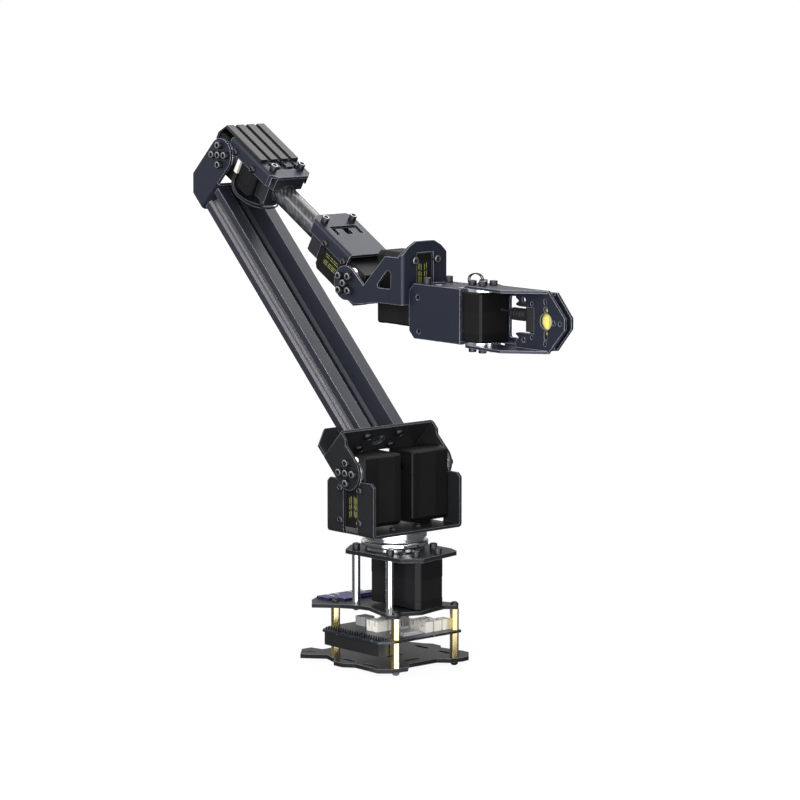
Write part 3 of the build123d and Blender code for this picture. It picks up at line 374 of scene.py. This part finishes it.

# %% [markdown]
# ## Give each solid its finish
# A solid keeps its shape and only gets a better material, so its material slots are filled by name. The
# sheets from the shoulder down get a plain black, less shiny finish, and those above it the bluish slate.

# %% Assign the finishes
finish_of = {}
for name in ("elbow_ears", "elbow_bracket", "wrist_bracket", "wrist_fork", "gripper_bracket", "fixed_jaw",
             "moving_jaw"):
    finish_of[name] = sheet_paint
for name in ("base_plate", "mid_plate", "top_plate", "turret_bracket", "shoulder_ears"):
    finish_of[name] = deep_paint
for name in nodes:
    if name.endswith("servo_lids"):
        finish_of[name] = servo_paint
    elif name.endswith("servo_case"):
        finish_of[name] = case_paint
    elif name.endswith(("horn", "horns")) or name.startswith("turntable") or name == "posts":
        finish_of[name] = chrome_paint
    elif name.endswith("screws"):
        finish_of[name] = dark_steel_paint
    elif name.endswith("standoffs"):
        finish_of[name] = brass_paint
    elif name.endswith("clamp"):
        finish_of[name] = block_paint
finish_of.update({
    "arm_extrusion": rail_paint, "forearm_tube": carbon_paint, "elbow_cover": cover_paint,
    "header_block": cover_paint, "controller_board": board_paint, "module_board": violet_paint,
    "board_connectors": cream_paint, "board_parts": part_paint, "grip_pad": pad_paint,
    "jaw_sensor": boot_paint, "elbow_plugs": cream_paint, "elbow_leads": lead_paint,
})
for name, paint in finish_of.items():
    solid = nodes[name]
    solid.data.materials.clear()
    solid.data.materials.append(paint)
print("finishes given:", len(finish_of), "left over:", sorted(set(nodes) - set(finish_of)))

# %% [markdown]
# ## Surfaces from profiles
# A turned thing is one profile swept round an axis. The profile is a list of points (radius, height), the
# angle is the second parameter, and a socket only makes the radius depend on the angle. One function lays
# such a surface anywhere, and another joins many of them into one piece.

# %% Turned surfaces
def frame_of(axis):
    """Two directions square to an axis."""
    helper = upward if abs(axis[2]) < 0.9 else forward
    first = np.cross(helper, axis)
    first /= np.linalg.norm(first)
    return first, np.cross(axis, first)


def hexagon(angle):
    """How far a hexagon's side is from its centre at each angle, for sides at distance 1."""
    sixth = math.pi / 3.0
    return 1.0 / np.cos((angle + sixth / 2.0) % sixth - sixth / 2.0)


def turned_grid(profile, seat, axis, columns=36):
    """Rows of points round an axis: the seat, plus the height along the axis, plus the radius times a unit
    vector that turns with the angle. In the rows marked hex, the radius follows a hexagon."""
    angle = np.linspace(0.0, 2.0 * math.pi, columns, endpoint=False)
    radius = np.array([row[0] * (hexagon(angle) if len(row) > 2 else np.ones(columns)) for row in profile])
    height = np.array([row[1] for row in profile])[:, None]
    first, second = frame_of(axis)
    ring = np.cos(angle)[:, None] * first + np.sin(angle)[:, None] * second
    return seat + height[:, :, None] * axis + radius[:, :, None] * ring


def piece_from(name, grids, paints, body, node=None, bright_rows=()):
    """Joins closed grids, each (rows, columns, 3), into one piece; bright_rows take the second paint."""
    points, faces, tones = [], [], []
    start = 0
    for grid in grids:
        rows, columns = grid.shape[:2]
        index = start + np.arange(rows * columns).reshape(rows, columns)
        after = np.roll(index, -1, axis=1)
        quads = np.stack([index[:-1], after[:-1], after[1:], index[1:]], axis=-1)
        faces.append(quads.reshape(-1, 4))
        tones.append(np.repeat([1 if row in bright_rows else 0 for row in range(rows - 1)], columns))
        points.append(grid.reshape(-1, 3))
        start += rows * columns
    mesh = bpy.data.meshes.new(name)
    mesh.from_pydata(np.concatenate(points).tolist(), [], np.concatenate(faces).tolist())
    for paint in paints:
        mesh.materials.append(paint)
    mesh.polygons.foreach_set("material_index", np.concatenate(tones))
    shape = bmesh.new()
    shape.from_mesh(mesh)
    bmesh.ops.remove_doubles(shape, verts=shape.verts, dist=1e-7)
    bmesh.ops.dissolve_degenerate(shape, edges=shape.edges, dist=1e-8)
    shape.to_mesh(mesh)
    shape.free()
    mesh.shade_smooth()
    mesh.set_sharp_from_angle(angle=math.radians(35.0))
    made = bpy.data.objects.new(name, mesh)
    bpy.context.scene.collection.objects.link(made)
    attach(made, body)
    if node is not None:
        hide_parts(node)


print("a hexagon's corner is", round(float(hexagon(math.pi / 6.0)), 3), "times as far as its side")

# %% [markdown]
# ## Screws
# Each screw of the frame is a plain stepped cylinder. Its seat, direction, radius and height are measured
# from the frame's own mesh, and a head with a chamfered rim and a hexagonal socket is turned at the same
# place. A screw's axis is the direction along which all its points lie on a few circles. Tall heads are
# cap screws and low ones are button heads. The chamfer or the socket's rim is worn bright.

# %% Measure the screws and turn their heads
directions = [forward, -side_out, upward, rail_way, tube_way, tube_up]


def separate(solid):
    """The points of each separate solid in a node. Corners at the same place share a label, and every face
    gives its corners the lowest label among them, until nothing changes."""
    mesh = solid.data
    mesh.calc_loop_triangles()
    points = np.empty(len(mesh.vertices) * 3)
    mesh.vertices.foreach_get("co", points)
    points = points.reshape(-1, 3)
    corners = np.empty(len(mesh.loop_triangles) * 3, dtype=np.int32)
    mesh.loop_triangles.foreach_get("vertices", corners)
    _, same = np.unique(np.round(points * 1e6).astype(np.int64), axis=0, return_inverse=True)
    same = same.reshape(-1)
    corners = same[corners].reshape(-1, 3)
    label = np.arange(same.max() + 1)
    changed = True
    while changed:
        lowest = label[corners].min(axis=1)
        before = label.copy()
        for column in range(3):
            np.minimum.at(label, corners[:, column], lowest)
        changed = bool((label != before).any())
    owner = label[same]
    return [points[owner == one] for one in np.unique(owner)]


def measure(points):
    """Seat, outward axis, head radius and head height of one screw."""
    best = None
    for axis in directions:
        first, second = frame_of(axis)
        flat = np.stack([points @ first, points @ second], axis=1)
        middle = (flat.max(axis=0) + flat.min(axis=0)) / 2.0
        distance = np.linalg.norm(flat - middle, axis=1)
        circles = len(np.unique(np.round(distance / (0.05 * mm))))
        if best is None or circles < best[0]:
            best = (circles, axis, middle[0] * first + middle[1] * second, distance)
    _, axis, centre, distance = best
    along = points @ axis
    rim = along[distance > distance.max() * 0.93]
    if rim.max() < along.max() - 0.01 * mm:
        axis, rim, along = -axis, -rim, -along
    seat = centre + axis * rim.min()
    return seat, axis, distance.max(), along.max() - rim.min()


def cap_profile(radius, height):
    """Socket cap screw: straight side, small chamfer, flat rim, hexagonal socket."""
    side = radius * 0.50
    deep = height * 0.55
    return [(0.0, 0.0), (radius, 0.0), (radius, height - radius * 0.14),
            (radius * 0.93, height - radius * 0.03), (radius * 0.88, height), (side * 1.14, height),
            (side, height - radius * 0.06, "hex"), (side, height - deep, "hex"), (0.0, height - deep)]


def button_profile(radius, height):
    """Button head: a low dome with a small hexagonal socket."""
    side = radius * 0.42
    steps = [(radius * math.cos(math.radians(a)), height * (0.25 + 0.75 * math.sin(math.radians(a))))
             for a in (0.0, 15.0, 30.0, 45.0, 56.0)]
    top = steps[-1][1]
    return [(0.0, 0.0), (radius, 0.0)] + steps + [(side * 1.14, top + height * 0.04), (side, top, "hex"),
                                                  (side, height * 0.35, "hex"), (0.0, height * 0.35)]


cap = (cap_profile, (3, 4))
button = (button_profile, (7,))
screw_sets = {
    "top_plate_screws": ("base", cap), "base_button_screws": ("base", button),
    "turret_screws": ("turret", button), "arm_horn_screws": ("upper_arm", cap),
    "arm_end_screws": ("upper_arm", button), "forearm_cap_screws": ("forearm", cap),
    "forearm_side_screws": ("forearm", button), "wrist_screws": ("wrist", cap),
    "hand_screws": ("hand", cap), "jaw_screws": ("finger", cap),
}
screw_paints = [dark_steel_paint, steel_paint]
head_count = 0
for node, (body, (shape_of, rim_rows)) in screw_sets.items():
    grids = []
    for points in separate(nodes[node]):
        seat, axis, radius, height = measure(points)
        profile = shape_of(radius, height) if height > radius * 0.5 else button_profile(radius, height)
        grids.append(turned_grid(profile, seat, axis))
    piece_from(node + "_turned", grids, screw_paints, body, node=node, bright_rows=rim_rows)
    head_count += len(grids)
print("screws turned:", head_count)

# %% [markdown]
# ## Small flat parts
# Labels, printed dashes and pins are thin rounded slabs. The outline is a superellipse: x = a cos(t)^e
# and y = b sin(t)^e with a small power e, which gives straight sides and tight round corners with few
# points. Each servo above the base has a label, placed from the servo's output axis: a direction along the
# housing and one out of it. The dashes stand for print and say nothing, and the elbow's label stays bare.

# %% Slabs, labels, pins and prints
def slab_grid(centre, across, along, half_a, half_b, thick, edge=0.08 * mm, tip=1.0):
    """Rounded slab on its centre: the centre, plus x across, y along and the height square to both. x and
    y are the superellipse times the half sizes, less an edge at the top. A tip below 1 narrows the top."""
    t = np.linspace(0.0, 2.0 * math.pi, 24, endpoint=False) + math.pi / 24.0
    power = 0.22
    x = np.sign(np.cos(t)) * np.abs(np.cos(t)) ** power
    y = np.sign(np.sin(t)) * np.abs(np.sin(t)) ** power
    out = np.cross(across, along)
    rows = [(0.0, 0.0, 0.0), (half_a, half_b, 0.0), (half_a, half_b, thick - edge),
            ((half_a - edge) * tip, (half_b - edge) * tip, thick), (0.0, 0.0, thick)]
    return np.array([centre + np.outer(x * a, across) + np.outer(y * b, along) + out * up
                     for a, b, up in rows])


servo_half = 16.75 * mm
shoulder_off = 21.75 * mm * side_out
servo_places = {
    "near_shoulder": (shoulder + shoulder_off, -upward, side_out, "turret"),
    "far_shoulder": (shoulder - shoulder_off, -upward, -side_out, "turret"),
    "elbow": (elbow, tube_way, side_out, "forearm"),
    "wrist": (wrist, -tube_way, side_out, "forearm"),
    "roll": (roll_servo, upward, forward, "wrist"),
    "gripper": (grip_servo, -forward, upward, "hand"),
}
print_paint = moulded("printed yellow line", (0.40, 0.42, 0.09), 0.55, grain=900.0, depth=0.01 * mm,
                      bevel=0.0)
label_paint = moulded("satin label", (0.006, 0.006, 0.007), 0.45, grain=700.0, depth=0.01 * mm,
                      bevel=0.1 * mm, shine=0.2)
white_paint = moulded("white print", (0.80, 0.82, 0.86), 0.50, grain=900.0, depth=0.01 * mm, bevel=0.0)

label_place = 24.1 * mm
label_sink = 0.40 * mm
label_half_wide = 6.3 * mm
label_half_long = 9.7 * mm
label_thick = 0.28 * mm
dash_thick = 0.05 * mm
dash_edge = 0.01 * mm
dash_columns = (-4.3, -3.0, -1.7, 1.3, 3.0)
dash_rows = ((-7.2, 2.5), (-1.6, 1.6), (2.6, 2.1))
for servo, (middle, along, out, body) in servo_places.items():
    across = np.cross(along, out)
    seat = middle + out * (servo_half - label_sink) + along * label_place
    plate = slab_grid(seat, across, along, label_half_wide, label_half_long, label_thick)
    piece_from(servo + "_label", [plate], [label_paint], body)
    if servo == "elbow":
        continue
    dashes = []
    for column, aside in enumerate(dash_columns):
        for start, half_long in dash_rows:
            way_up = start + half_long + 0.5 * math.sin(2.0 * column)
            spot = seat + out * (label_thick - dash_edge) + (across * aside + along * way_up) * mm
            dashes.append(slab_grid(spot, across, along, 0.17 * mm, half_long * mm, dash_thick, dash_edge))
    piece_from(servo + "_label_lines", dashes, [print_paint], body)

pin_columns = 24
pin_rows = 3
pin_pitch = 2.5 * mm
pin_half = 0.38 * mm
pin_tall = 1.7 * mm
first_pin = np.array([-28.75, -38.2, 25.0]) * mm
pins = []
for column in range(pin_columns):
    for row in range(pin_rows):
        spot = first_pin + (forward * column - side_out * row) * pin_pitch
        pins.append(slab_grid(spot, forward, -side_out, pin_half, pin_half, pin_tall, 0.1 * mm, tip=0.45))
piece_from("header_pin_tails", pins, [dark_steel_paint], "base")

board_low, board_high = (np.array(corner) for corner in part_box("module_board"))
board_long, board_wide, _ = board_high - board_low
marks = []
for number, share in enumerate((0.12, 0.30, 0.62, 0.84)):
    half_long = (0.22 + 0.10 * math.sin(3.0 * number)) * 0.9 * board_long
    middle = board_low[0] + (0.34 + 0.10 * math.cos(2.0 * number)) * board_long
    spot = np.array([middle, board_low[1] + share * board_wide, board_high[2]])
    marks.append(slab_grid(spot, forward, -side_out, half_long, 0.35 * mm, 0.10 * mm, 0.01 * mm))
piece_from("module_print", marks, [white_paint], "base")
print("labels on", len(servo_places), "servos, pins:", len(pins), "lines on the module:", len(marks))

# %% [markdown]
# ## Short leads on the hand
# One thin lead runs from the gripper servo to the sensor's boot, and two wires loop over the upper horn.
# Each is a smooth curve through the air with a round section.

# %% Leads
def lead(name, route, radius, body):
    """Round lead along a smooth curve, its route in millimetres."""
    data = bpy.data.curves.new(name, "CURVE")
    data.dimensions = "3D"
    data.bevel_depth = radius
    data.bevel_resolution = 5
    data.resolution_u = 12
    data.use_fill_caps = True
    data.materials.append(lead_paint)
    spline = data.splines.new("NURBS")
    spline.points.add(len(route) - 1)
    for point, place in zip(spline.points, route):
        point.co = (*[v * mm for v in place], 1.0)
    spline.order_u = 3
    spline.use_endpoint_u = True
    made = bpy.data.objects.new(name, data)
    bpy.context.scene.collection.objects.link(made)
    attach(made, body)


sensor_route = [(101.4, 6.0, 256.6), (104.0, 7.2, 256.4), (108.0, 8.0, 256.3), (112.2, 8.0, 256.0)]
lead("sensor_lead", sensor_route, 0.6 * mm, "hand")
for number, aside in enumerate((-3.2, -1.6)):
    loop_route = [(77.0, aside + 3.0, 270.6), (77.2, aside + 1.0, 275.0), (79.5, aside, 278.4),
                  (85.0, aside, 280.6), (91.0, aside, 279.4), (92.6, aside, 276.0),
                  (88.0, aside + 0.5, 273.6)]
    lead("horn_loop_" + str(number + 1), loop_route, 0.45 * mm, "hand")
print("leads ready:", len(sensor_route), "and", len(loop_route), "points in a route")

# %% [markdown]
# ## Camera
# The picture is taken from ahead of the arm and from its right, a little above it, with a long lens. A
# camera is a point and three directions: right, up and back towards the viewer.

# %% Camera
azimuth = math.radians(48.866)
elevation = math.radians(7.813)
eye = np.array([1.85991, -1.61963, 0.52398])
back = np.array([math.sin(azimuth) * math.cos(elevation), -math.cos(azimuth) * math.cos(elevation),
                 math.sin(elevation)])
right = np.cross([0.0, 0.0, 1.0], back)
right /= np.linalg.norm(right)
up = np.cross(back, right)
camera_data = bpy.data.cameras.new("photo camera")
camera_data.lens = 162.0
camera_data.sensor_width = 36.0
camera_data.clip_end = 50.0
camera = bpy.data.objects.new("photo camera", camera_data)
bpy.context.scene.collection.objects.link(camera)
camera_rows = np.eye(4)
camera_rows[:3] = np.stack([right, up, back, eye], axis=1)
camera.matrix_world = Matrix(camera_rows.tolist())
bpy.context.scene.camera = camera
print("camera at", eye.round(3), "looking along", (-back).round(3))

# %% [markdown]
# ## Studio
# A product picture on pure white. Four soft lamps stand round the arm, and a fifth, low one reaches
# between the base's plates. Dark sheet and polished metal show mostly what they mirror. So the room, which
# the camera sees as white, lights them most from one upper corner, and the floor glows in their
# reflections in two places: far to the arm's rear right, which lifts its side faces, and on the side where
# the camera stands, which the chamfers and posts catch. What the camera sees of the floor is mostly white
# light and for a small part its real surface, which keeps a faint shadow.

# %% Light, floor and room
def area_light(name, place, target, size, power, spread=180.0):
    """Square soft light at a place, facing a target, with its spread in degrees."""
    data = bpy.data.lights.new(name, "AREA")
    data.shape = "SQUARE"
    data.size = size
    data.energy = power
    data.spread = math.radians(spread)
    lamp = bpy.data.objects.new(name, data)
    bpy.context.scene.collection.objects.link(lamp)
    away = np.array(place) - np.array(target)
    away /= np.linalg.norm(away)
    side = np.cross(upward, away)
    side /= np.linalg.norm(side)
    rows = np.eye(4)
    rows[:3] = np.stack([side, np.cross(away, side), away, place], axis=1)
    lamp.matrix_world = Matrix(rows.tolist())


area_light("top light", (-0.30, 0.75, 1.20), (0.0, 0.0, 0.25), 1.0, 7.6)
area_light("left light", (-0.35, -0.95, 1.0), (-0.1, 0.0, 0.30), 0.5, 3.0)
area_light("front light", (0.85, -1.55, 1.35), (0.0, 0.0, 0.30), 0.8, 12.0)
area_light("right light", (1.60, 0.10, 0.60), (0.0, 0.0, 0.25), 0.8, 8.5)
area_light("low light", (0.70, -0.75, 0.28), (0.0, 0.0, 0.036), 0.5, 0.8, spread=70.0)

world = bpy.data.worlds.new("white room")
bpy.context.scene.world = world
world.use_nodes = True
room = world.node_tree


def larger(first, second):
    """The larger of two sockets' values, in the room's shader."""
    made = room.nodes.new("ShaderNodeMath")
    made.operation = "MAXIMUM"
    room.links.new(first, made.inputs[0])
    room.links.new(second, made.inputs[1])
    return made.outputs[0]


bright_corner = (-0.62, -0.42, 0.66)
facing = room.nodes.new("ShaderNodeTexCoord")
towards = room.nodes.new("ShaderNodeVectorMath")
towards.operation = "DOT_PRODUCT"
towards.inputs[1].default_value = bright_corner
room.links.new(facing.outputs["Generated"], towards.inputs[0])
ramp = room.nodes.new("ShaderNodeMapRange")
ramp.interpolation_type = "SMOOTHSTEP"
for label, value in (("From Min", -0.15), ("From Max", 0.95), ("To Min", 0.16), ("To Max", 0.95)):
    ramp.inputs[label].default_value = value
room.links.new(towards.outputs["Value"], ramp.inputs["Value"])
ray = room.nodes.new("ShaderNodeLightPath")
straight = larger(ray.outputs["Is Camera Ray"], ray.outputs["Is Transmission Ray"])
room.links.new(larger(ramp.outputs["Result"], straight), room.nodes["Background"].inputs["Strength"])
room.nodes["Background"].inputs["Color"].default_value = (1.0, 1.0, 1.0, 1.0)

floor_half = 6.0
corners = np.array([[-1, -1, 0], [1, -1, 0], [1, 1, 0], [-1, 1, 0]]) * floor_half
floor_mesh = bpy.data.meshes.new("studio floor")
floor_mesh.from_pydata(corners.tolist(), [], [(0, 1, 2, 3)])
floor = bpy.data.objects.new("studio_floor", floor_mesh)
bpy.context.scene.collection.objects.link(floor)
floor_paint = Paint("white floor", Roughness=0.95, Specular_IOR_Level=0.0)
floor_paint.shader.inputs["Base Color"].default_value = (0.38, 0.38, 0.38, 1.0)
spot = floor_paint.place()
spot_way = floor_paint.node("ShaderNodeVectorMath", {"operation": "NORMALIZE"}, spot)
far = floor_paint.node("ShaderNodeVectorMath", {"operation": "LENGTH"}, spot, out=1).over(0.9, 0.4)
rear_right = floor_paint.dot(spot, (-0.75, -0.66, 0.0)).over(2.0, 1.3)
camera_side = floor_paint.dot(spot_way, (0.75, -0.66, 0.0)).over(0.80, 0.12)
lit = rear_right * 0.55 + camera_side * 3.3 + 0.05
glow = floor_paint.node("ShaderNodeEmission", {}, Color=(0.86, 0.90, 1.0, 1.0), Strength=lit)
white = floor_paint.node("ShaderNodeEmission", {}, Color=(1.0, 1.0, 1.0, 1.0), Strength=1.08)
seen = floor_paint.node("ShaderNodeLightPath", {})
mirrored = floor_paint.node("ShaderNodeLightPath", {}, out=3)
surface = Wire(floor_paint, floor_paint.shader.outputs[0])
mixed = floor_paint.node("ShaderNodeMixShader", {}, mirrored * 0.9, surface, glow)
mixed = floor_paint.node("ShaderNodeMixShader", {}, seen * (0.88 + far * 0.12), mixed, white)
output = floor_paint.tree.nodes["Material Output"]
floor_paint.tree.links.new(mixed.socket, output.inputs["Surface"])
floor_mesh.materials.append(floor_paint.material)
bpy.context.scene.view_settings.view_transform = "Standard"
print("studio ready")
